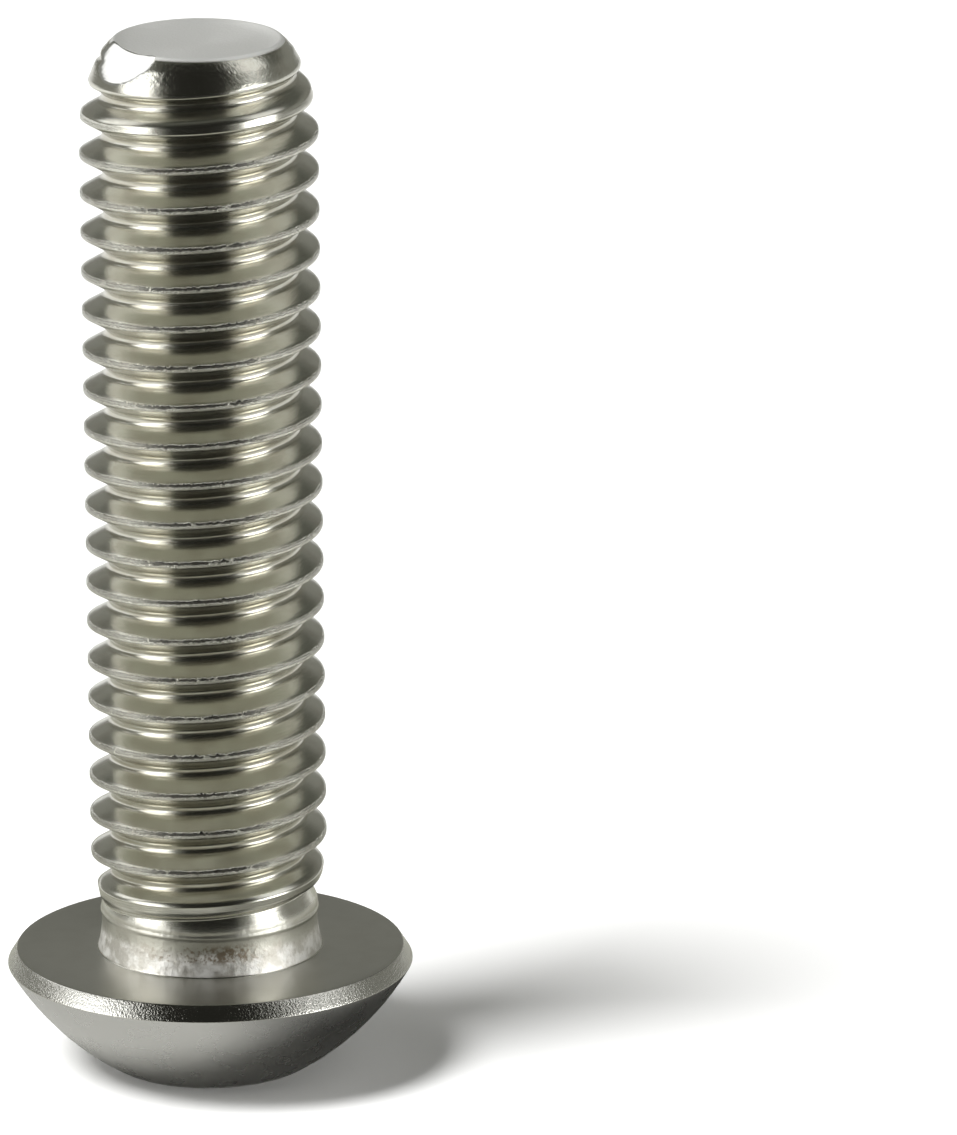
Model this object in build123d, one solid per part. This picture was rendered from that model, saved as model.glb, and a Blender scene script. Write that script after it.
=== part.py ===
from build123d import *
from build123d.topology import SkipClean
from math import atan, ceil, cos, degrees, pi, radians, sqrt, tan
import os

# A 3/8-16 UNC button head socket cap screw, 1 1/2 in long, in 18-8 stainless steel.
# It is cold headed from one piece of wire: the domed head, the hex socket punched
# into it, the short plain neck and the rolled thread are one solid.
# The origin is the centre of the bearing face under the head. +Z runs along the
# shank to its tip, so the screw stands on the edge of its socket, tip up.
# Millimetres and degrees throughout.

# thread, right-handed
pitch = 1.5875              # 16 threads to the inch
thread_d = 9.40             # over the crests
crest_flat = 0.20           # width of the crest along the axis
root_flat = 0.35            # width of the root along the axis
flank_angle = 30.0          # each flank, from the plane across the axis
patches_per_turn = 18       # faces along one turn of each crest, flank and root

# shank, measured from the bearing face
shank_length = 37.2
neck_length = 1.85          # plain neck, up to where the thread starts to rise
neck_step = 0.40            # the neck lies this far inside the crests
start_lead = 0.30           # below the neck's end, where a crest's lower edge crosses the +X side
crest_runout = 2.25         # the crests reach their height over this length
root_runout = 1.25          # the groove reaches its depth over this length
flare_length = 1.60         # the neck widens to the head over this length
flare_width = 0.18          # and by this much all round

# tip, with lengths from its end
tip_d = 7.05
taper_length = 3.60         # the crests fall away over this length, first gently
shoulder_d = 8.60           # and then more steeply from here
shoulder_length = 1.65
lip_width = 0.25            # chamfer around the end
dish_depth = 0.32           # the end is slightly hollow, as thread rolling leaves it

# head
head_d = 16.16
head_height = 4.73
dome_r = 11.5               # arc of its dome, from the rim to the mouth
bevel_width = 0.38          # steep bevel around the bearing face
bevel_height = 0.60
mouth_d = 7.96              # edge of the countersink, which the screw stands on

# hex socket, for a 7/32 in key
hex_across = 5.60
socket_depth = 3.00         # from the mouth to the end of the straight walls
countersink_angle = 30.0    # from the plane of the mouth
punch_inset = 0.26          # the walls come in by this much at their end
punch_taper = 0.30          # over this length
floor_angle = 12.0          # cone of the floor, from the plane of the mouth
dimple_d = 1.60             # mark of the punch's point
dimple_depth = 0.25

# derived sizes
flank_width = (pitch - crest_flat - root_flat) / 2
crest_r = thread_d / 2
root_r = crest_r - flank_width / tan(radians(flank_angle))
neck_r = crest_r - neck_step
rim_r = head_d / 2
mouth_r = mouth_d / 2
tip_r = tip_d / 2
spare = 0.5                 # how far one shape runs on inside or past the next


def lathe(outline):
    """One full turn of a half profile, drawn as radius and height."""
    return revolve(Plane.XZ * make_face(outline), Axis.Z)


def screwed(shape, patches):
    """The shape carried along the thread by this many patches."""
    share = patches / patches_per_turn
    return shape.moved(Location((0, 0, share * pitch), (0, 0, share * 360)))


def thread_patches():
    """The crest, flank, root and flank of one patch, and the edges between them.

    A crest's edges are arcs. A root's are their chords, so the bottom of the groove has few faces.
    """
    share = 1 / patches_per_turn
    bend = cos(pi * share)

    def points(radius, middle, height):
        """Control points of an edge: its ends, and one between them at the middle radius."""
        line = [(radius, 0), (middle, share / 2), (radius, share)]
        places = [Vector(reach, 0, height + turns * pitch) for reach, turns in line]
        return [place.rotate(Axis.Z, turns * 360) for place, (_, turns) in zip(places, line)]

    corners = [
        (crest_r, crest_r / bend, 0),
        (crest_r, crest_r / bend, crest_flat),
        (root_r, root_r * bend, crest_flat + flank_width),
        (root_r, root_r * bend, pitch - flank_width),
        (crest_r, crest_r / bend, pitch),
    ]
    rows = [points(*corner) for corner in corners]
    edges = [Edge.make_bezier(*row, weights=[1, bend, 1]) for row in rows]
    low, high = edges[:2]
    ends = [Edge.make_line(low @ end, high @ end) for end in (0, 1)]
    arc = Edge.make_circle(crest_r, start_angle=-360 * share, end_angle=720 * share)
    wall = Face.extrude(arc.moved(Location((0, 0, -pitch))), (0, 0, 3 * pitch))
    faces = [wall.split_by_perimeter(Wire([low, high] + ends), Keep.INSIDE)]
    for i in range(1, len(rows) - 1):
        weights = [[weight / corners[j][0] for weight in (1, bend, 1)] for j in (i, i + 1)]
        faces.append(Face.make_bezier_surface(rows[i:i + 2], weights))
    return faces, edges


def threaded_rod(bottom, top):
    """The whole thread from bottom to top, its surface closed by a ramp and a step at each end."""
    patches, lines = thread_patches()
    count = ceil((top - bottom) / pitch) * patches_per_turn
    faces = [screwed(face, i) for i in range(count) for face in patches]
    turn = range(patches_per_turn)
    edges = [screwed(lines[0], i) for i in turn]
    edges += [screwed(lines[-1], count - 1 - i) for i in turn]
    for edge in edges:
        axis = Edge.make_line((0, 0, (edge @ 0).Z), (0, 0, (edge @ 1).Z))
        faces.append(Face.make_surface_from_curves(axis, edge))
    for patch, end in ((0, 0), (count - 1, 1)):
        corners = [screwed(line, patch) @ end for line in lines]
        corners += [Vector(0, 0, corners[-1].Z), Vector(0, 0, corners[0].Z)]
        faces.append(Face(Wire.make_polygon(corners, close=True)))
    return Solid(Shell(faces)).moved(Location((0, 0, bottom)))


def crest_limit():
    """What the crests stay within: a cone up from the neck, and cones in to the hollow tip."""
    shoulder_r = shoulder_d / 2
    rise = neck_step / crest_runout
    fall = (crest_r - shoulder_r) / (taper_length - shoulder_length)
    outer_r = crest_r + spare * rise
    return lathe(Polyline(
        (0, neck_length - spare),
        (neck_r - spare * rise, neck_length - spare),
        (outer_r, neck_length + crest_runout + spare),
        (outer_r, shank_length - taper_length - (outer_r - crest_r) / fall),
        (shoulder_r, shank_length - shoulder_length),
        (tip_r, shank_length - lip_width),
        (tip_r - lip_width, shank_length),
        (0, shank_length - dish_depth),
        close=True,
    ))


def blank():
    """The turned form of the head, the flare, the neck and the core that the groove runs out on."""
    core_r = root_r - neck_step
    core_top = neck_length + root_runout * (neck_r - core_r) / (neck_r - root_r)
    foot_r = neck_r + flare_width
    outline = Polyline(
        (neck_r, flare_length),
        (neck_r, neck_length),
        (core_r, core_top),
        (0, core_top),
        (0, mouth_r * tan(radians(countersink_angle)) - head_height),
        (mouth_r, -head_height),
    )
    outline += RadiusArc((mouth_r, -head_height), (rim_r, -bevel_height), -dome_r)
    outline += Polyline((rim_r, -bevel_height), (rim_r - bevel_width, 0), (foot_r, 0))
    outline += TangentArc((neck_r, flare_length), (foot_r, 0), tangent=(0, -1))
    return lathe(outline)


def socket():
    """The space that the hex punch leaves, with its tapered end, conical floor and dimple."""
    hexagon = RegularPolygon(hex_across / 2, 6, major_radius=False)
    mouth = -head_height - spare
    wall_end = socket_depth - head_height
    straight = Pos(0, 0, mouth) * extrude(hexagon, wall_end - mouth)
    taper = degrees(atan(punch_inset / punch_taper))
    end = Pos(0, 0, wall_end) * extrude(hexagon, punch_taper, taper=taper)
    top = wall_end + punch_taper
    inner = end.faces().sort_by(Axis.Z)[-1]
    floor_r = (hex_across / 2 - punch_inset) * 2 / sqrt(3)
    centre = top + floor_r * tan(radians(floor_angle))
    cone = lathe(Polyline((0, mouth), (floor_r, mouth), (floor_r, top), (0, centre), close=True))
    point = extrude(inner, centre - top) & cone
    dimple_r = dimple_d / 2
    ball_r = (dimple_r ** 2 + dimple_depth ** 2) / (2 * dimple_depth)
    edge = top + (floor_r - dimple_r) * tan(radians(floor_angle))
    ball = Pos(0, 0, edge + dimple_depth - ball_r) * Sphere(ball_r)
    dimple = ball & extrude(Plane.XY.offset(top) * Circle(dimple_r), ball_r)
    return straight + end + point + dimple


with SkipClean():
    rod = threaded_rod(neck_length - start_lead - pitch, shank_length + spare)
    screw = blank() + (rod & crest_limit()) - socket()

os.makedirs("parts", exist_ok=True)
export_step(screw, "parts/button_head_screw.step")
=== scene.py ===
import math

import bmesh
import bpy
from mathutils import Matrix, Vector


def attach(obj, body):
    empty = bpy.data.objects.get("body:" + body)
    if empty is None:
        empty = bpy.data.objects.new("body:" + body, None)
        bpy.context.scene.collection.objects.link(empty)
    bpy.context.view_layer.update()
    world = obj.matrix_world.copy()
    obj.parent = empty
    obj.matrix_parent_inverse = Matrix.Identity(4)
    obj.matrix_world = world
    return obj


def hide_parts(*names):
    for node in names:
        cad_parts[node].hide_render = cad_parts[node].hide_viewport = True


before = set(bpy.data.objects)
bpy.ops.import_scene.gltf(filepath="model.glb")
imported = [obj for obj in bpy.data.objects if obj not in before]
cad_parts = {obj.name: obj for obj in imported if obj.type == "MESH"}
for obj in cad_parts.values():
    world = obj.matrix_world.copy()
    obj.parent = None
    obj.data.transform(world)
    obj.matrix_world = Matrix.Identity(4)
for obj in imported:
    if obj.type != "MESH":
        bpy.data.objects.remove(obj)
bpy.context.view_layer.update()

mm = 0.001
print("frame loaded")


class Wire:
    # a socket that adds Math nodes when it is used in an expression
    def __init__(self, nodes, socket):
        self.nodes = nodes
        self.socket = socket

    def math(self, operation, *values, clamp=False):
        settings = {"operation": operation, "use_clamp": clamp}
        return self.nodes.make("ShaderNodeMath", settings, dict(enumerate(values)))

    def __add__(self, other):
        return self.math("ADD", self, other)

    def __radd__(self, other):
        return self.math("ADD", other, self)

    def __sub__(self, other):
        return self.math("SUBTRACT", self, other)

    def __rsub__(self, other):
        return self.math("SUBTRACT", other, self)

    def __mul__(self, other):
        return self.math("MULTIPLY", self, other)

    def __rmul__(self, other):
        return self.math("MULTIPLY", other, self)

    def __truediv__(self, other):
        return self.math("DIVIDE", self, other)

    def root(self):
        return self.math("SQRT", self)

    def clipped(self):
        return self.math("ADD", self, 0, clamp=True)

    def size(self):
        return self.math("ABSOLUTE", self)

    def most(self, other):
        return self.math("MAXIMUM", self, other)


class Nodes:
    # one material's or world's node tree
    def __init__(self, owner):
        owner.use_nodes = True
        self.tree = owner.node_tree
        self.tree.nodes.clear()

    def make(self, kind, settings=None, inputs=None, output=0):
        node = self.tree.nodes.new(kind)
        for name, value in (settings or {}).items():
            setattr(node, name, value)
        for key, value in (inputs or {}).items():
            if isinstance(value, Wire):
                self.tree.links.new(value.socket, node.inputs[key])
            else:
                node.inputs[key].default_value = value
        return Wire(self, node.outputs[output]) if node.outputs else node

    def mixColour(self, factor, a, b, blend="MIX"):
        settings = {"data_type": "RGBA", "blend_type": blend}
        return self.make("ShaderNodeMix", settings, {0: factor, 6: a, 7: b}, output=2)

    def vector(self, *parts):
        return self.make("ShaderNodeCombineXYZ", {}, dict(enumerate(parts)))

    def scaled(self, vector, scale):
        return self.make("ShaderNodeVectorMath", {"operation": "MULTIPLY"}, {0: vector, 1: scale})

    def dot(self, vector, other):
        settings = {"operation": "DOT_PRODUCT"}
        return self.make("ShaderNodeVectorMath", settings, {0: vector, 1: tuple(other)}, output="Value")

    def noise(self, vector, scale, detail, roughness):
        inputs = {"Vector": vector, "Scale": scale, "Detail": detail, "Roughness": roughness}
        return self.make("ShaderNodeTexNoise", {}, inputs)

    def step(self, value, low, high):
        # rises softly from 0 at low to 1 at high
        inputs = {"Value": value, "From Min": low, "From Max": high}
        return self.make("ShaderNodeMapRange", {"interpolation_type": "SMOOTHSTEP"}, inputs)

    def place(self):
        return self.make("ShaderNodeTexCoord", output="Object")

    def split(self, vector):
        first = self.make("ShaderNodeSeparateXYZ", {}, {0: vector})
        outputs = first.socket.node.outputs
        return [Wire(self, outputs[i]) for i in range(3)]

    def finish(self, kind, shader):
        self.make(kind, {}, {"Surface": shader})


meshing = {
    "near": 0.001,            # corners this near a radius lie on it, in millimetres
    "weld": 0.0005,           # points this near each other are joined
    "pole": 0.02,             # radius of the last ring before a surface closes
}

# millimetres, heights along the shank from the bearing face, +Z to the tip
screw = {
    "columns": 96,            # faces around, in sixes for the hex socket
    "pitch": 25.4 / 16,
    "turns": 24,              # enough to pass both seams
    "firstCrest": 1.65,       # height of a crest's middle on the +X side
    "crestRadius": 4.70,
    "rootRadius": 3.80,
    "crestFlat": 0.20,
    "rootFlat": 0.35,
    "crestRound": 0.035,
    "crestSegments": 3,
    "rootRound": 0.14,
    "rootSegments": 4,
    "flankCuts": 3,
    "neckRadius": 4.30,
    "neckTop": 1.85,
    "neckSeam": 1.70,         # where the shank's mesh meets the head's
    "crestRunout": 2.25,
    "rootRunout": 1.25,
    "runoutPast": 1.0,        # the run-out's limits still hold this far past it
    "runoutSoft": 0.05,
    "softFrom": 0.4,          # the softness grows over this length from each seam
    "tipSeam": 36.97,
    # height, and the radius that the crests stay within
    "tipTaper": [
        (33.6, 4.72),
        (34.2, 4.63),
        (34.9, 4.50),
        (35.55, 4.30),
        (36.2, 4.04),
        (36.7, 3.76),
        (36.97, 3.52),
    ],
}


def heading(around, up):
    # the way that lies this many degrees round from the +X side and this many up
    around, up = math.radians(around), math.radians(up)
    return Vector((math.cos(up) * math.cos(around), math.cos(up) * math.sin(around), math.sin(up)))


def between(points, value):
    # straight-line reading of a short table of (place, level)
    for (a, low), (b, high) in zip(points, points[1:]):
        if value <= b:
            share = max(0, (value - a) / (b - a))
            return low + share * (high - low)
    return points[-1][1]


def softLeast(a, b, soft):
    if soft <= 0:
        return min(a, b)
    h = max(soft - abs(a - b), 0) / soft
    return min(a, b) - h * h * soft / 4


def softMost(a, b, soft):
    return -softLeast(-a, -b, soft)


def threadProfile(bm):
    # one pitch from the middle of a crest to the middle of the next, rounded at its corners
    s = screw
    flank = (s["pitch"] - s["crestFlat"] - s["rootFlat"]) / 2
    half = s["crestFlat"] / 2
    corners = [
        (s["crestRadius"], 0),
        (s["crestRadius"], half),
        (s["rootRadius"], half + flank),
        (s["rootRadius"], s["pitch"] - half - flank),
        (s["crestRadius"], s["pitch"] - half),
        (s["crestRadius"], s["pitch"]),
    ]
    start = s["firstCrest"] - s["pitch"]
    verts = [bm.verts.new((radius, 0, start + height)) for radius, height in corners]
    edges = [bm.edges.new(pair) for pair in zip(verts, verts[1:])]
    flanks = [edges[1], edges[3]]
    bmesh.ops.subdivide_edges(bm, edges=flanks, cuts=s["flankCuts"])
    roundCorners(bm, s["rootRadius"], s["rootRound"], s["rootSegments"])
    roundCorners(bm, s["crestRadius"], s["crestRound"], s["crestSegments"])


def roundCorners(bm, radius, offset, segments):
    corners = [v for v in bm.verts if abs(v.co.x - radius) < meshing["near"] and len(v.link_edges) == 2]
    bmesh.ops.bevel(
        bm,
        geom=corners,
        affect="VERTICES",
        offset=offset,
        segments=segments,
        profile=0.5,
        material=-1,
    )


def shankRadius(radius, height):
    # the thread's own radius, held inside the run-out and the tip's taper
    s = screw
    if height <= s["neckSeam"]:
        return s["neckRadius"]
    if height >= s["tipSeam"]:
        return s["tipTaper"][-1][1]
    rise = (s["crestRadius"] - s["neckRadius"]) / s["crestRunout"]
    upper = s["neckRadius"] + max(0, height - s["neckTop"]) * rise
    fall = (s["neckRadius"] - s["rootRadius"]) / s["rootRunout"]
    core = s["neckRadius"] - max(0, height - s["neckTop"]) * fall
    taper = between(s["tipTaper"], height)
    fromSeam = min(height - s["neckSeam"], s["tipSeam"] - height)
    soft = s["runoutSoft"] * min(1, fromSeam / s["softFrom"])
    if height < s["neckTop"] + s["crestRunout"] + s["runoutPast"]:
        radius = softLeast(softMost(radius, core, soft), upper, soft)
    return softLeast(radius, taper, soft)


def makeShank(bm):
    s = screw
    threadProfile(bm)
    bmesh.ops.spin(
        bm,
        geom=bm.verts[:] + bm.edges[:],
        cent=(0, 0, 0),
        axis=(0, 0, 1),
        dvec=(0, 0, s["pitch"] / s["columns"]),
        angle=2 * math.pi,
        steps=s["columns"],
        use_merge=False,
    )
    oneTurn = bm.verts[:] + bm.edges[:] + bm.faces[:]
    for turn in range(1, s["turns"]):
        copy = bmesh.ops.duplicate(bm, geom=oneTurn)["geom"]
        verts = [g for g in copy if isinstance(g, bmesh.types.BMVert)]
        bmesh.ops.translate(bm, vec=(0, 0, turn * s["pitch"]), verts=verts)
    for vert in bm.verts:
        height = min(max(vert.co.z, s["neckSeam"]), s["tipSeam"])
        radius = shankRadius(vert.co.xy.length, height)
        around = vert.co.xy.normalized() * radius
        vert.co = (around.x, around.y, height)
    bmesh.ops.remove_doubles(bm, verts=bm.verts[:], dist=meshing["weld"])


def openRing(bm, high):
    # the edges of the open end at the tip, or at the neck
    middle = (screw["neckSeam"] + screw["tipSeam"]) / 2
    return [e for e in bm.edges if e.is_boundary and (e.verts[0].co.z > middle) == high]


def addRing(bm, edges, radius, height):
    # one more ring of faces; radius and height may depend on the angle
    made = bmesh.ops.extrude_edge_only(bm, edges=edges)["geom"]
    for vert in (g for g in made if isinstance(g, bmesh.types.BMVert)):
        angle = math.atan2(vert.co.y, vert.co.x)
        reach = radius(angle) if callable(radius) else radius
        level = height(angle) if callable(height) else height
        vert.co = (reach * math.cos(angle), reach * math.sin(angle), level)
    return [g for g in made if isinstance(g, bmesh.types.BMEdge) and g.is_boundary]


def closeRing(bm, edges, height):
    made = addRing(bm, edges, meshing["pole"], height)
    verts = list({v for e in made for v in e.verts})
    bmesh.ops.pointmerge(bm, verts=verts, merge_co=(0, 0, height))


def rounded(corner, before, after, offset, segments=3):
    # points that turn a corner of a profile, from a little before it to a little after
    corner = Vector(corner)
    a = corner + (Vector(before) - corner).normalized() * offset
    b = corner + (Vector(after) - corner).normalized() * offset
    points = []
    for i in range(segments + 1):
        t = i / segments
        points.append(tuple(a * (1 - t) ** 2 + corner * 2 * t * (1 - t) + b * t ** 2))
    return points


head = {
    # radius and height of the soft ridge under the thread
    "neckBand": [(4.33, 1.66), (4.345, 1.60), (4.325, 1.54), (4.29, 1.49)],
    "flareTop": 1.42,
    "flareStart": 4.28,
    "flareRadius": 4.48,
    "flareRings": 7,
    "footRound": 0.06,
    "faceRings": (5.2, 6.0, 6.8, 7.4),   # on the bearing face
    "bevelWidth": 0.38,
    "bevelHeight": 0.60,
    "bevelShares": (0.3, 0.7),
    "edgeRound": 0.03,
    "rimRadius": 8.078,
    "height": 4.73,
    "domeRadius": 11.5,
    "mouthRadius": 3.98,
    "domeRings": 22,
}


def domePoints(rings):
    # an arc of the head's profile, from the rim to the mouth
    h = head
    rim = Vector((h["rimRadius"], -h["bevelHeight"]))
    mouth = Vector((h["mouthRadius"], -h["height"]))
    chord = mouth - rim
    inward = Vector((chord.y, -chord.x)).normalized()
    centre = (rim + mouth) / 2 + inward * math.sqrt(h["domeRadius"] ** 2 - chord.length ** 2 / 4)
    first, last = (math.atan2(end.y - centre.y, end.x - centre.x) for end in (rim, mouth))
    angles = [first + (last - first) * i / rings for i in range(rings + 1)]
    reach = h["domeRadius"]
    return [(centre.x + reach * math.cos(a), centre.y + reach * math.sin(a)) for a in angles]


def flarePoints(rings):
    # hollow arc from the plain neck out to the head, upright at its top
    h = head
    width = h["flareRadius"] - h["flareStart"]
    shares = [i / rings for i in range(rings + 1)]
    return [(h["flareStart"] + width * t ** 2, h["flareTop"] * (1 - t)) for t in shares]


def hexRadius(apothem, angle):
    # how far a hexagon reaches at an angle, with a corner on the +X side
    return apothem / math.cos(angle % (math.pi / 3) - math.pi / 6)


def makeHead(bm, edges):
    h = head
    flare = flarePoints(h["flareRings"])
    dome = domePoints(h["domeRings"])
    foot = (h["flareRadius"], 0)
    ring = (h["rimRadius"] - h["bevelWidth"], 0)
    rim = (h["rimRadius"], -h["bevelHeight"])
    mouth = (h["mouthRadius"], -h["height"])
    slope = math.tan(math.radians(socket["countersink"]))
    inside = (h["mouthRadius"] - 1, slope - h["height"])    # a millimetre in from the mouth
    profile = h["neckBand"] + flare[:-1] + rounded(foot, flare[-2], ring, h["footRound"])
    profile += [(radius, 0) for radius in h["faceRings"]]
    profile += rounded(ring, foot, rim, h["edgeRound"])
    profile += [(ring[0] + h["bevelWidth"] * t, -h["bevelHeight"] * t) for t in h["bevelShares"]]
    profile += rounded(rim, ring, dome[1], h["edgeRound"])
    profile += dome[1:-1]
    profile += rounded(mouth, dome[-2], inside, h["edgeRound"])
    for radius, height in profile:
        edges = addRing(bm, edges, radius, height)
    return edges


# shares are where its rings of faces lie, from the mouth inwards
socket = {
    "countersink": 30.0,      # degrees from the plane of the mouth
    "mouthShares": (0.15, 0.4, 0.7, 0.93, 0.985),
    "apothem": 2.80,
    "lip": 0.03,
    "lipShares": (0.3, 1),
    "wallEnd": -1.73,
    "wallShares": (0.3, 0.6, 0.9, 0.985),
    "inset": 0.26,
    "taper": 0.30,
    "taperShares": (0.03, 0.3, 0.7, 0.97),
    "floorAngle": 12.0,
    "floorShares": (0.0, 0.03, 0.2, 0.4, 0.6, 0.8, 0.97, 1.0),
    "dimpleRadius": 0.80,
    "dimpleDepth": 0.25,
    "dimpleShares": (0.93, 0.75, 0.5, 0.25),   # of its radius
}


def makeSocket(bm, edges):
    s = socket
    slope = math.tan(math.radians(s["countersink"]))
    floorSlope = math.tan(math.radians(s["floorAngle"]))
    mouth = head["mouthRadius"] - head["edgeRound"]
    inner = s["apothem"] - s["inset"]
    corner = inner / math.cos(math.pi / 6)
    top = s["wallEnd"] + s["taper"]

    def wall(apothem):
        return lambda angle: hexRadius(apothem, angle)

    def mouthReach(share):
        return lambda angle: mouth + (hexRadius(s["apothem"], angle) - mouth) * share

    def coneHeight(reach):
        return lambda angle: (head["mouthRadius"] - reach(angle)) * slope - head["height"]

    def raised(height, rise):
        return lambda angle: height(angle) + rise

    def wallHeight(edge, share):
        return lambda angle: edge(angle) * (1 - share) + s["wallEnd"] * share

    def floorReach(share):
        return lambda angle: hexRadius(inner, angle) * (1 - share) + s["dimpleRadius"] * share

    def floorHeight(reach):
        return top + (corner - reach) * floorSlope

    for share in s["mouthShares"]:
        reach = mouthReach(share)
        edges = addRing(bm, edges, reach, coneHeight(reach))
    edge = coneHeight(mouthReach(1))
    for share in s["lipShares"]:
        edges = addRing(bm, edges, wall(s["apothem"]), raised(edge, s["lip"] * share))
    for share in s["wallShares"]:
        edges = addRing(bm, edges, wall(s["apothem"]), wallHeight(edge, share))
    for share in s["taperShares"]:
        apothem = s["apothem"] - s["inset"] * share
        edges = addRing(bm, edges, wall(apothem), s["wallEnd"] + s["taper"] * share)
    for share in s["floorShares"]:
        reach = floorReach(share)
        edges = addRing(bm, edges, reach, lambda angle: floorHeight(reach(angle)))
    dimpleEdge = floorHeight(s["dimpleRadius"])
    for share in s["dimpleShares"]:
        height = dimpleEdge + s["dimpleDepth"] * (1 - share ** 2)
        edges = addRing(bm, edges, s["dimpleRadius"] * share, height)
    closeRing(bm, edges, dimpleEdge + s["dimpleDepth"])


tip = {
    "length": 37.2,
    "lipRadius": 3.27,
    "lipRound": 0.1,
    "lipSegments": 4,
    # radius and depth of the hollow that rolling leaves
    "dish": [(3.04, 0.14), (2.75, 0.20), (2.2, 0.25), (1.4, 0.29), (0.7, 0.31), (0.0, 0.32)],
    "facetTurn": 214,         # degrees round to the flat that shearing left on the end's edge
    "facetTilt": 45,
    "facetReach": 2.92,       # from the axis to its upper edge
}


def facetPlane():
    # the way the tip's flat faces, and how far out it lies that way
    t = tip
    up = math.radians(t["facetTilt"])
    facing = heading(t["facetTurn"], t["facetTilt"])
    return facing, math.cos(up) * t["facetReach"] + math.sin(up) * t["length"]


def makeTip(bm, edges):
    t = tip
    shoulder = (screw["tipTaper"][-1][1], screw["tipSeam"])
    lip = (t["lipRadius"], t["length"])
    dish = [(radius, t["length"] - depth) for radius, depth in t["dish"]]
    profile = rounded(lip, shoulder, dish[0], t["lipRound"], t["lipSegments"]) + dish[:-1]
    for radius, height in profile:
        edges = addRing(bm, edges, radius, height)
    closeRing(bm, edges, dish[-1][1])
    facing, limit = facetPlane()
    for vert in bm.verts:
        if vert.co.z > screw["tipTaper"][0][0]:
            vert.co -= facing * max(0, facing.dot(vert.co) - limit)


def makeScrew():
    bm = bmesh.new()
    makeShank(bm)
    makeSocket(bm, makeHead(bm, openRing(bm, False)))
    makeTip(bm, openRing(bm, True))
    bmesh.ops.remove_doubles(bm, verts=bm.verts[:], dist=meshing["weld"])
    bmesh.ops.recalc_face_normals(bm, faces=bm.faces[:])
    bmesh.ops.scale(bm, vec=(mm, mm, mm), verts=bm.verts[:])
    for face in bm.faces:
        face.smooth = True
    mesh = bpy.data.meshes.new("buttonHeadScrew")
    bm.to_mesh(mesh)
    openEdges = sum(e.is_boundary or not e.is_manifold for e in bm.edges)
    print("open edges", openEdges, "faces", len(bm.faces))
    bm.free()
    piece = bpy.data.objects.new("buttonHeadScrew", mesh)
    bpy.context.scene.collection.objects.link(piece)
    return piece


steel = {
    "colours": {
        "base": (0.66, 0.655, 0.59, 1),
        "dull": (0.60, 0.585, 0.52, 1),
        # painted shade in the thread's roots, in streaks
        "root": (0.43, 0.40, 0.31, 1),
        # painted shade and painted reflection, near black, on the crest's seam
        "seam": (0.06, 0.057, 0.05, 1),
        "neck": (0.68, 0.66, 0.60, 1),
        "pale": (0.93, 0.92, 0.88, 1),
        "rust": (0.27, 0.20, 0.13, 1),
        "head": (0.65, 0.645, 0.61, 1),
        "dome": (0.70, 0.695, 0.67, 1),
        "tip": (0.82, 0.82, 0.80, 1),
        "socket": (0.40, 0.35, 0.22, 1),
        "gold": (0.62, 0.54, 0.36, 1),
    },
    # a pattern's level where a colour starts, and where it is full
    "dullFrom": (0.42, 0.66),
    "rootFrom": (0.30, 0.70),
    "paleFrom": (0.40, 0.64),
    "rustFrom": (0.47, 0.60),
    "goldFrom": (0.40, 0.65),
    # how much of it then shows, and for a pair, all round and how much more at the front
    "rootPaintedShade": 0.7,
    "headShade": 0.8,
    "flareShade": 0.8,
    "neckShade": 0.2,
    # painted shade on the seam all round, and more painted reflection of the dark space before the
    # screw at the front
    "seamPaintedShade": (0.25, 0.65),
    "rustShade": (0.20, 0.60),
    # soft patterns: marks to a millimetre, octaves, roughness
    "grain": (17.0, 2, 0.6),
    "mottle": (0.9, 3, 0.55),
    "pearl": (2.6, 3, 0.6),
    "speck": (6.5, 2, 0.6),
    "spark": (12.0, 2, 0.6),
    "patch": (1.5, 3, 0.6),
    "rings": (7.0, 3, 0.6),       # outwards from the axis
    "punch": ((5.0, 5.0, 0.5), 3, 0.6),   # around the axis, in two parts, and outwards
    # patterns of the thread: marks to a turn, and to a unit of two directions across it
    "streak": ((16, 9, 14), 3, 0.6),
    "fine": ((60, 26, 40), 2, 0.6),
    "jitter": ((170, 1, 1), 3, 0.7),
    "broken": ((75, 1, 1), 2, 0.6),
    "brokenRow": 3.7,             # keeps it apart from the jitter
    "burr": ((260, 18, 1), 3, 0.65),
    # the seam on the crest, a real groove whose near-black colour is painted shade, in millimetres:
    # how far above its middle it runs, and how it wanders and swells
    "seamRise": 0.072,
    "seamWander": 0.26,
    "seamSwell": 0.12,
    "seamWidth": (0.042, 0.070),  # full within the first on each side, gone at the second
    "seamGaps": (0.26, 0.40),     # broken off where its pattern is lower
    # where each pattern is cut, and how deep in millimetres
    "cuts": [
        ("thread", "streak", 0.0044),
        ("thread", "fine", 0.00176),
        ("crest", "burr", 0.0476),
        ("neck", "pearl", 0.018),
        ("flare", "pearl", 0.018),
        ("neck", "speck", 0.009),
        ("end", "speck", 0.020),
        ("taper", "speck", 0.010),
        ("taper", "pearl", 0.012),
        ("dome", "pearl", 0.0032),
        ("inside", "pearl", 0.0016),
        ("rim", "spark", 0.022),
        ("head", "rings", 0.0007),
    ],
    "grainCut": 0.0007,
    "seamCut": 0.034,
    "roughness": 0.20,
    "mottleRoughness": 0.12,
    "streakRoughness": 0.06,
    "rougher": {
        "flare": 0.12,
        "neck": 0.18,
        "end": 0.42,
        "dome": 0.08,
        "inside": 0.08,
        "rim": -0.08,
        "crest": -0.10,
        "facet": -0.06,
        "bearing": 0.13,
    },
    "anisotropic": 0.35,
    "anisotropicTurn": 0.25,
    # how much less metallic these look
    "endHaze": 0.22,
    "flareHaze": 0.06,
    "paleHaze": 0.12,
}

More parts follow.
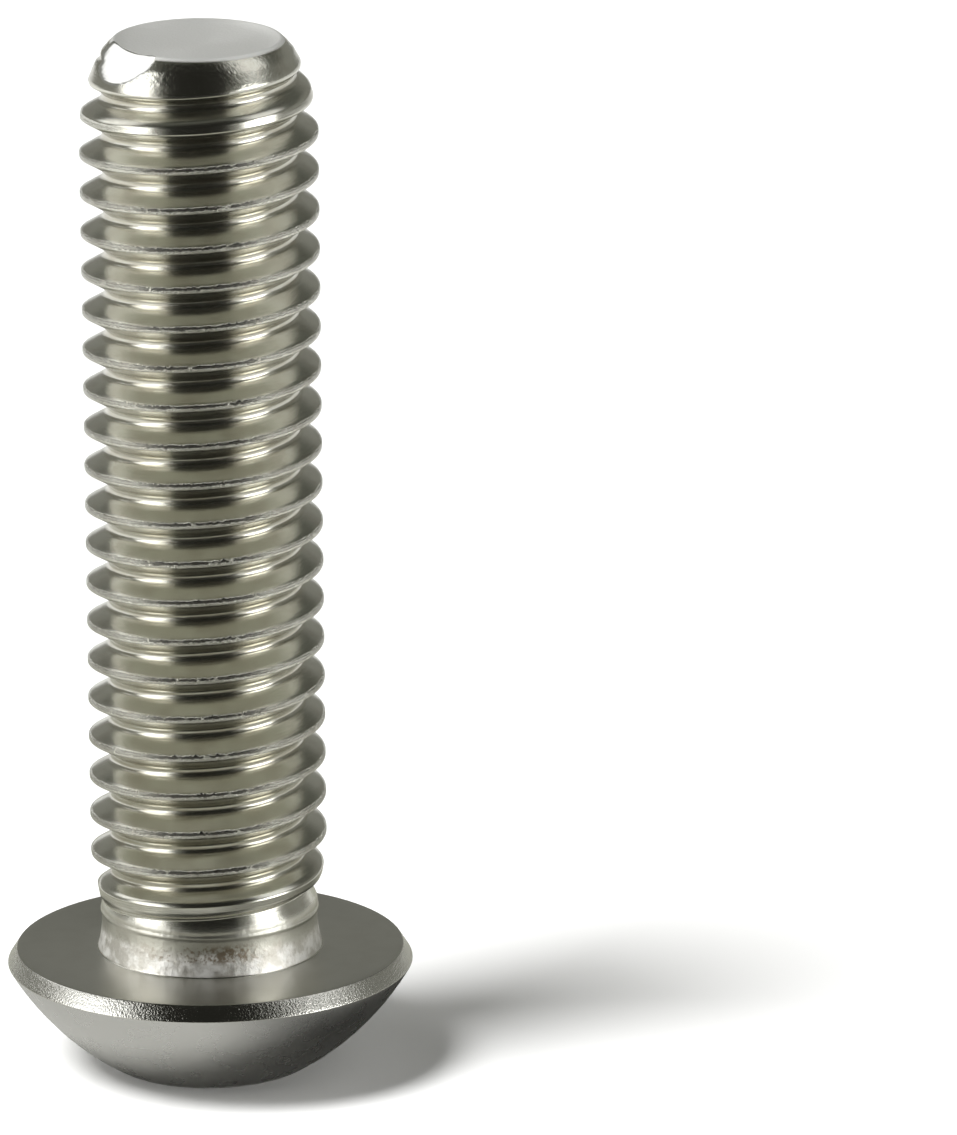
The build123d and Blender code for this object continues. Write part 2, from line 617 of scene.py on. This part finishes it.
# where each finish lies, in millimetres: gone at the first of a pair, full at the second
zones = {
    # by height
    "thread": [(1.95, 2.3), (36.6, 36.0)],
    "neck": [(0.0, 0.12), (2.2, 1.8)],
    "flare": [(0.02, 0.1), (1.15, 0.75)],
    "rust": [(0.45, 0.7), (1.4, 1.1)],
    "end": [(36.6, 36.9)],
    "taper": [(35.6, 36.3)],
    "head": [(0.03, 0.0)],
    "dome": [(-0.55, -0.65)],
    # by distance from the axis
    "endReach": [(3.46, 3.38)],
    "insideReach": [(3.99, 3.95)],
    "deepReach": [(3.26, 3.16)],
    "rimReach": [(7.68, 7.72)],
    "crestReach": [(4.56, 4.66)],
    "rootReach": [(4.02, 3.85)],
    # by distance past the tip's flat, and by place, where -1 is straight to the front
    "facetDepth": [(-0.05, -0.02)],
    "frontShare": [(-0.80, -0.97)],
}


def zoneMasks(nodes, place, y, z, reach):
    # how much of each finish a point has, from 0 to 1
    def within(value, name):
        share = 1.0
        for gone, full in zones[name]:
            share = nodes.step(value, gone, full) * share
        return share

    facing, limit = facetPlane()
    on = {name: within(z, name) for name in ("thread", "neck", "flare", "rust", "head")}
    on["facet"] = within(nodes.dot(place, facing) - limit, "facetDepth")
    on["end"] = within(z, "end") * within(reach, "endReach") * (1 - on["facet"])
    on["taper"] = within(z, "taper") * (1 - on["end"]) * (1 - on["facet"])
    on["inside"] = on["head"] * within(reach, "insideReach")
    on["deep"] = on["inside"] * within(reach, "deepReach")
    on["dome"] = on["head"] * within(z, "dome") * (1 - on["inside"])
    on["rim"] = on["head"] * within(reach, "rimReach") * (1 - on["dome"])
    on["bearing"] = on["head"] * (1 - on["dome"]) * (1 - on["rim"]) * (1 - on["inside"])
    on["crest"] = on["thread"] * within(reach, "crestReach")
    on["root"] = on["thread"] * within(reach, "rootReach")
    on["front"] = within(y / reach, "frontShare")
    return on


def threadPatterns(nodes, x, y, z, reach):
    # streaks along the thread, the seam that rolling leaves on its crest, and its burr
    s = steel
    angle = y.math("ARCTAN2", y, x) / (2 * math.pi)
    turn = (z - screw["firstCrest"]) / screw["pitch"] - angle
    phase = turn.math("FRACT", turn + 0.5) - 0.5      # pitches above the crest's middle
    along = turn - phase + angle                      # turns along the thread
    rise = phase * screw["pitch"]

    def pattern(name, second=0.0, third=0.0):
        scales, detail, roughness = s[name]
        spot = nodes.scaled(nodes.vector(along, second, third), scales)
        return nodes.noise(spot, 1.0, detail, roughness)

    broken = pattern("broken", s["brokenRow"])
    fromSeam = rise - s["seamRise"] - (pattern("jitter") - 0.5) * s["seamWander"]
    seam = 1 - nodes.step(fromSeam.size() - (broken - 0.5) * s["seamSwell"], *s["seamWidth"])
    return {
        "streak": pattern("streak", reach, phase),
        "fine": pattern("fine", reach, phase),
        "burr": pattern("burr", rise),
        "seam": seam * nodes.step(broken, *s["seamGaps"]),
    }


def steelColour(nodes, on, pattern):
    s = steel
    colours = s["colours"]

    def shade(name):
        allRound, atFront = s[name]
        return on["front"] * atFront + allRound

    stain = nodes.step(pattern["speck"] * 0.5 + pattern["mottle"] * 0.5, *s["rustFrom"])
    punched = nodes.step(pattern["punch"], *s["goldFrom"])
    gold = nodes.mixColour(punched, colours["socket"], colours["gold"])
    layers = [
        (nodes.step(pattern["mottle"], *s["dullFrom"]), colours["dull"]),
        # painted shade in the thread's roots, in streaks
        (on["root"] * nodes.step(pattern["streak"], *s["rootFrom"]) * s["rootPaintedShade"], colours["root"]),
        # the seam painted dark: painted shade all round, and painted reflection of the dark space
        # before the screw, heavier at the front
        (pattern["seam"] * shade("seamPaintedShade"), colours["seam"]),
        (on["flare"] * s["flareShade"] + on["neck"] * s["neckShade"], colours["neck"]),
        (on["flare"] * pattern["pale"], colours["pale"]),
        (on["rust"] * stain * shade("rustShade"), colours["rust"]),
        (on["head"] * (1 - on["dome"]) * s["headShade"], colours["head"]),
        (on["dome"], colours["dome"]),
        (on["end"].most(on["facet"]), colours["tip"]),
        (on["deep"], gold),
    ]
    colour = colours["base"]
    for share, layer in layers:
        colour = nodes.mixColour(share, colour, layer)
    return colour


def steelMaterial():
    material = bpy.data.materials.new("rolledSteel")
    nodes = Nodes(material)
    s = steel
    place = nodes.scaled(nodes.place(), (1 / mm, 1 / mm, 1 / mm))
    x, y, z = nodes.split(place)
    reach = (x * x + y * y).root()
    on = zoneMasks(nodes, place, y, z, reach)
    pattern = threadPatterns(nodes, x, y, z, reach)
    pattern["seam"] = pattern["seam"] * on["crest"]
    for name in ("grain", "mottle", "pearl", "speck", "spark"):
        pattern[name] = nodes.noise(place, *s[name])
    pattern["pale"] = nodes.step(nodes.noise(place, *s["patch"]), *s["paleFrom"])
    pattern["rings"] = nodes.noise(nodes.vector(reach, 0.0, 0.0), *s["rings"])
    scales, detail, roughness = s["punch"]
    around = nodes.scaled(nodes.vector(x / reach, y / reach, reach), scales)
    pattern["punch"] = nodes.noise(around, 1.0, detail, roughness)

    height = (pattern["grain"] - 0.5) * s["grainCut"] - pattern["seam"] * s["seamCut"]
    for zone, name, depth in s["cuts"]:
        height = height + on[zone] * (pattern[name] - 0.5) * depth
    rough = (pattern["mottle"] - 0.5) * s["mottleRoughness"] + s["roughness"]
    rough = rough + on["thread"] * (pattern["streak"] - 0.5) * s["streakRoughness"]
    for zone, more in s["rougher"].items():
        rough = rough + on[zone] * more
    haze = on["flare"] * (pattern["pale"] * s["paleHaze"] + s["flareHaze"])

    inputs = {
        "Base Color": steelColour(nodes, on, pattern),
        "Metallic": 1 - on["end"] * s["endHaze"] - haze,
        "Roughness": rough,
        "Anisotropic": s["anisotropic"],
        "Anisotropic Rotation": s["anisotropicTurn"],
        "Normal": nodes.make("ShaderNodeBump", {}, {"Strength": 1.0, "Distance": mm, "Height": height}),
    }
    nodes.finish("ShaderNodeOutputMaterial", nodes.make("ShaderNodeBsdfPrincipled", {}, inputs))
    return material


piece = makeScrew()
piece.data.materials.append(steelMaterial())
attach(piece, "root")
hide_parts("button_head_screw")
print("screw made")


# the studio, in metres, with the screw at its middle
studio = {
    "floorHeight": -head["height"] * mm,
    "floorSize": 4.0,
    "floorColour": (0.86, 0.86, 0.855, 1),
    "floorLift": 0.01,            # what the floor adds for itself, to be seen as white
    "paperRoughness": 0.9,
    "paperShine": 0.1,
    "keyPlace": (-0.52, -0.30, 0.93),
    "keySize": 0.52,
    "keyPower": 19.2,
}

# a light tent, by direction; a colour is gone at the first of a pair, full at the second
tent = {
    "back": (0.25, 0.25, 0.225, 1),
    "top": (0.105, 0.108, 0.092, 1),
    "topFrom": (0.28, 0.54),      # upwards
    "front": (0.02, 0.02, 0.017, 1),
    "frontFrom": (-0.02, -0.30),  # forwards, which is -Y
    "frontSides": (0.62, 0.45),   # to either side
    # soft lights: degrees round from the right, degrees up, full within, gone beyond, level
    "soft": [
        (198, 24, 8, 25, 2.40),
        (150, 40, 8, 22, 1.35),
        (208, 2, 7, 20, 3.20),
        (-5, 50, 8, 25, 1.05),
        (-25, 6, 8, 22, 5.00),
    ],
}

# painted reflection of the floor: a grey sheet seen only in its steel, with painted dark before the
# screw, painted shadow close on its right, and painted light close on its left and far off; pairs as
# above
reflectionPaint = {
    "size": 3.8,
    "lift": 0.0001,
    # the sheet's own grey, a painted reflection of a dimmer floor
    "colour": (0.285, 0.285, 0.245, 1),
    # painted light on the floor close to the screw, on its left
    "paintedNearLightColour": (0.36, 0.36, 0.345, 1),
    # painted shadow on the floor close to the screw, on its right
    "paintedShadowColour": (0.12, 0.12, 0.115, 1),
    "closeTo": (0.020, 0.012),     # metres from the screw's axis
    "paintedShadowFrom": (-0.001, 0.007),  # metres to its right
    # painted light on the floor far from the screw
    "paintedFarLightColour": (0.66, 0.66, 0.65, 1),
    "farFrom": (0.045, 0.100),     # metres from the screw's axis
    # painted dark reflection before the screw
    "paintedDarkColour": (0.015, 0.015, 0.013, 1),
    "darkFrom": (-0.034, -0.056),  # metres before it
    "darkSides": (0.004, 0.76),    # half width at the screw, and its gain with distance
    "sideSoft": 0.006,             # the width of its edges, each way
}


def flatSheet(name, size, height, material):
    bm = bmesh.new()
    bmesh.ops.create_grid(bm, x_segments=1, y_segments=1, size=size / 2)
    bmesh.ops.translate(bm, vec=(0, 0, height), verts=bm.verts[:])
    mesh = bpy.data.meshes.new(name)
    bm.to_mesh(mesh)
    bm.free()
    thing = bpy.data.objects.new(name, mesh)
    bpy.context.scene.collection.objects.link(thing)
    mesh.materials.append(material)
    return thing


def finishPaper(nodes, inputs):
    inputs["Roughness"] = studio["paperRoughness"]
    inputs["Specular IOR Level"] = studio["paperShine"]
    nodes.finish("ShaderNodeOutputMaterial", nodes.make("ShaderNodeBsdfPrincipled", {}, inputs))


def makeFloor():
    # the camera, mirrors and glass see it a little lighter than the light alone makes it
    material = bpy.data.materials.new("floorPaper")
    nodes = Nodes(material)
    path = nodes.make("ShaderNodeLightPath").socket.node.outputs
    seen = Wire(nodes, path["Is Camera Ray"]) + Wire(nodes, path["Is Glossy Ray"])
    seen = (seen + Wire(nodes, path["Is Transmission Ray"])).clipped()
    inputs = {"Base Color": studio["floorColour"]}
    inputs["Emission Color"] = seen
    inputs["Emission Strength"] = studio["floorLift"]
    finishPaper(nodes, inputs)
    flatSheet("floor", studio["floorSize"], studio["floorHeight"], material)


# a grey sheet seen only in the steel's reflections, its colours a painted reflection of the floor
def makePaintedReflection():
    material = bpy.data.materials.new("paintedReflectionSheet")
    nodes = Nodes(material)
    s = reflectionPaint
    x, y = nodes.split(nodes.place())[:2]
    reach = (x * x + y * y).root()
    start, gain = s["darkSides"]
    overhang = x.size() + y * gain - start
    # painted dark before the screw, widening with distance
    dark = nodes.step(y, *s["darkFrom"]) * nodes.step(overhang, s["sideSoft"], -s["sideSoft"])
    # close to the screw: painted light on its left, painted shadow on its right
    nearPaint = nodes.mixColour(nodes.step(x, *s["paintedShadowFrom"]), s["paintedNearLightColour"], s["paintedShadowColour"])
    # painted light on the floor far from the screw
    colour = nodes.mixColour(nodes.step(reach, *s["farFrom"]), s["colour"], s["paintedFarLightColour"])
    colour = nodes.mixColour(nodes.step(reach, *s["closeTo"]), colour, nearPaint)
    colour = nodes.mixColour(dark, colour, s["paintedDarkColour"])
    finishPaper(nodes, {"Base Color": colour})
    paintedSheet = flatSheet("paintedReflectionSheet", s["size"], studio["floorHeight"] + s["lift"], material)
    paintedSheet.visible_camera = False
    paintedSheet.visible_diffuse = False
    paintedSheet.visible_shadow = False
    paintedSheet.visible_transmission = False


def makeKey():
    light = bpy.data.lights.new("keyLight", "AREA")
    light.shape = "DISK"
    light.size = studio["keySize"]
    light.energy = studio["keyPower"]
    lamp = bpy.data.objects.new("keyLight", light)
    bpy.context.scene.collection.objects.link(lamp)
    lamp.location = studio["keyPlace"]
    lamp.rotation_euler = (-Vector(studio["keyPlace"])).to_track_quat("-Z", "Y").to_euler()
    lamp.visible_camera = False
    lamp.visible_glossy = False


def makeWorld():
    world = bpy.data.worlds.new("tent")
    bpy.context.scene.world = world
    nodes = Nodes(world)
    direction = nodes.make("ShaderNodeTexCoord", output="Generated")
    x, y, z = nodes.split(direction)
    light = None
    for around, up, inner, outer, level in tent["soft"]:
        near = nodes.dot(direction, heading(around, up))
        limits = [math.cos(math.radians(edge)) for edge in (outer, inner)]
        share = nodes.step(near, *limits) * level
        light = share if light is None else light.most(share)
    colour = nodes.mixColour(nodes.step(z, *tent["topFrom"]), tent["back"], tent["top"])
    colour = nodes.mixColour(1.0, colour, light, "ADD")
    dark = nodes.step(y, *tent["frontFrom"]) * nodes.step(x.size(), *tent["frontSides"])
    colour = nodes.mixColour(dark, colour, tent["front"])
    background = nodes.make("ShaderNodeBackground", {}, {"Color": colour, "Strength": 1.0})
    nodes.finish("ShaderNodeOutputWorld", background)


makeFloor()
makePaintedReflection()
makeKey()
makeWorld()
print("studio ready")


# the camera, with pixels of a frame 957 wide and 1135 high
view = {
    "frame": (957, 1135),
    "focal": 12000,           # pixels
    "distance": 0.4736,       # metres
    "pitch": 16.5,            # degrees down
    "roll": -0.43,            # degrees
    "aimHeight": 0.017,       # this height on the axis
    "aimPixel": (204.4, 534.5),   # is seen here
    "sensor": 36,             # millimetres
    "clip": (0.01, 20),       # metres
}


def makeCamera():
    v = view
    width, height = v["frame"]
    data = bpy.data.cameras.new("camera")
    data.sensor_fit = "AUTO"
    data.sensor_width = v["sensor"]
    data.lens = v["focal"] / height * v["sensor"]
    data.clip_start, data.clip_end = v["clip"]
    camera = bpy.data.objects.new("camera", data)
    bpy.context.scene.collection.objects.link(camera)
    turn = Matrix.Rotation(math.radians(90 - v["pitch"]), 3, "X")
    turn = turn @ Matrix.Rotation(math.radians(v["roll"]), 3, "Z")
    scale = v["distance"] / v["focal"]
    x = (width / 2 - v["aimPixel"][0]) * scale
    y = (v["aimPixel"][1] - height / 2) * scale
    camera.location = Vector((0, 0, v["aimHeight"])) + turn @ Vector((x, y, v["distance"]))
    camera.rotation_euler = turn.to_euler()
    bpy.context.scene.camera = camera


makeCamera()
bpy.context.scene.view_settings.view_transform = "Standard"

print("camera set")
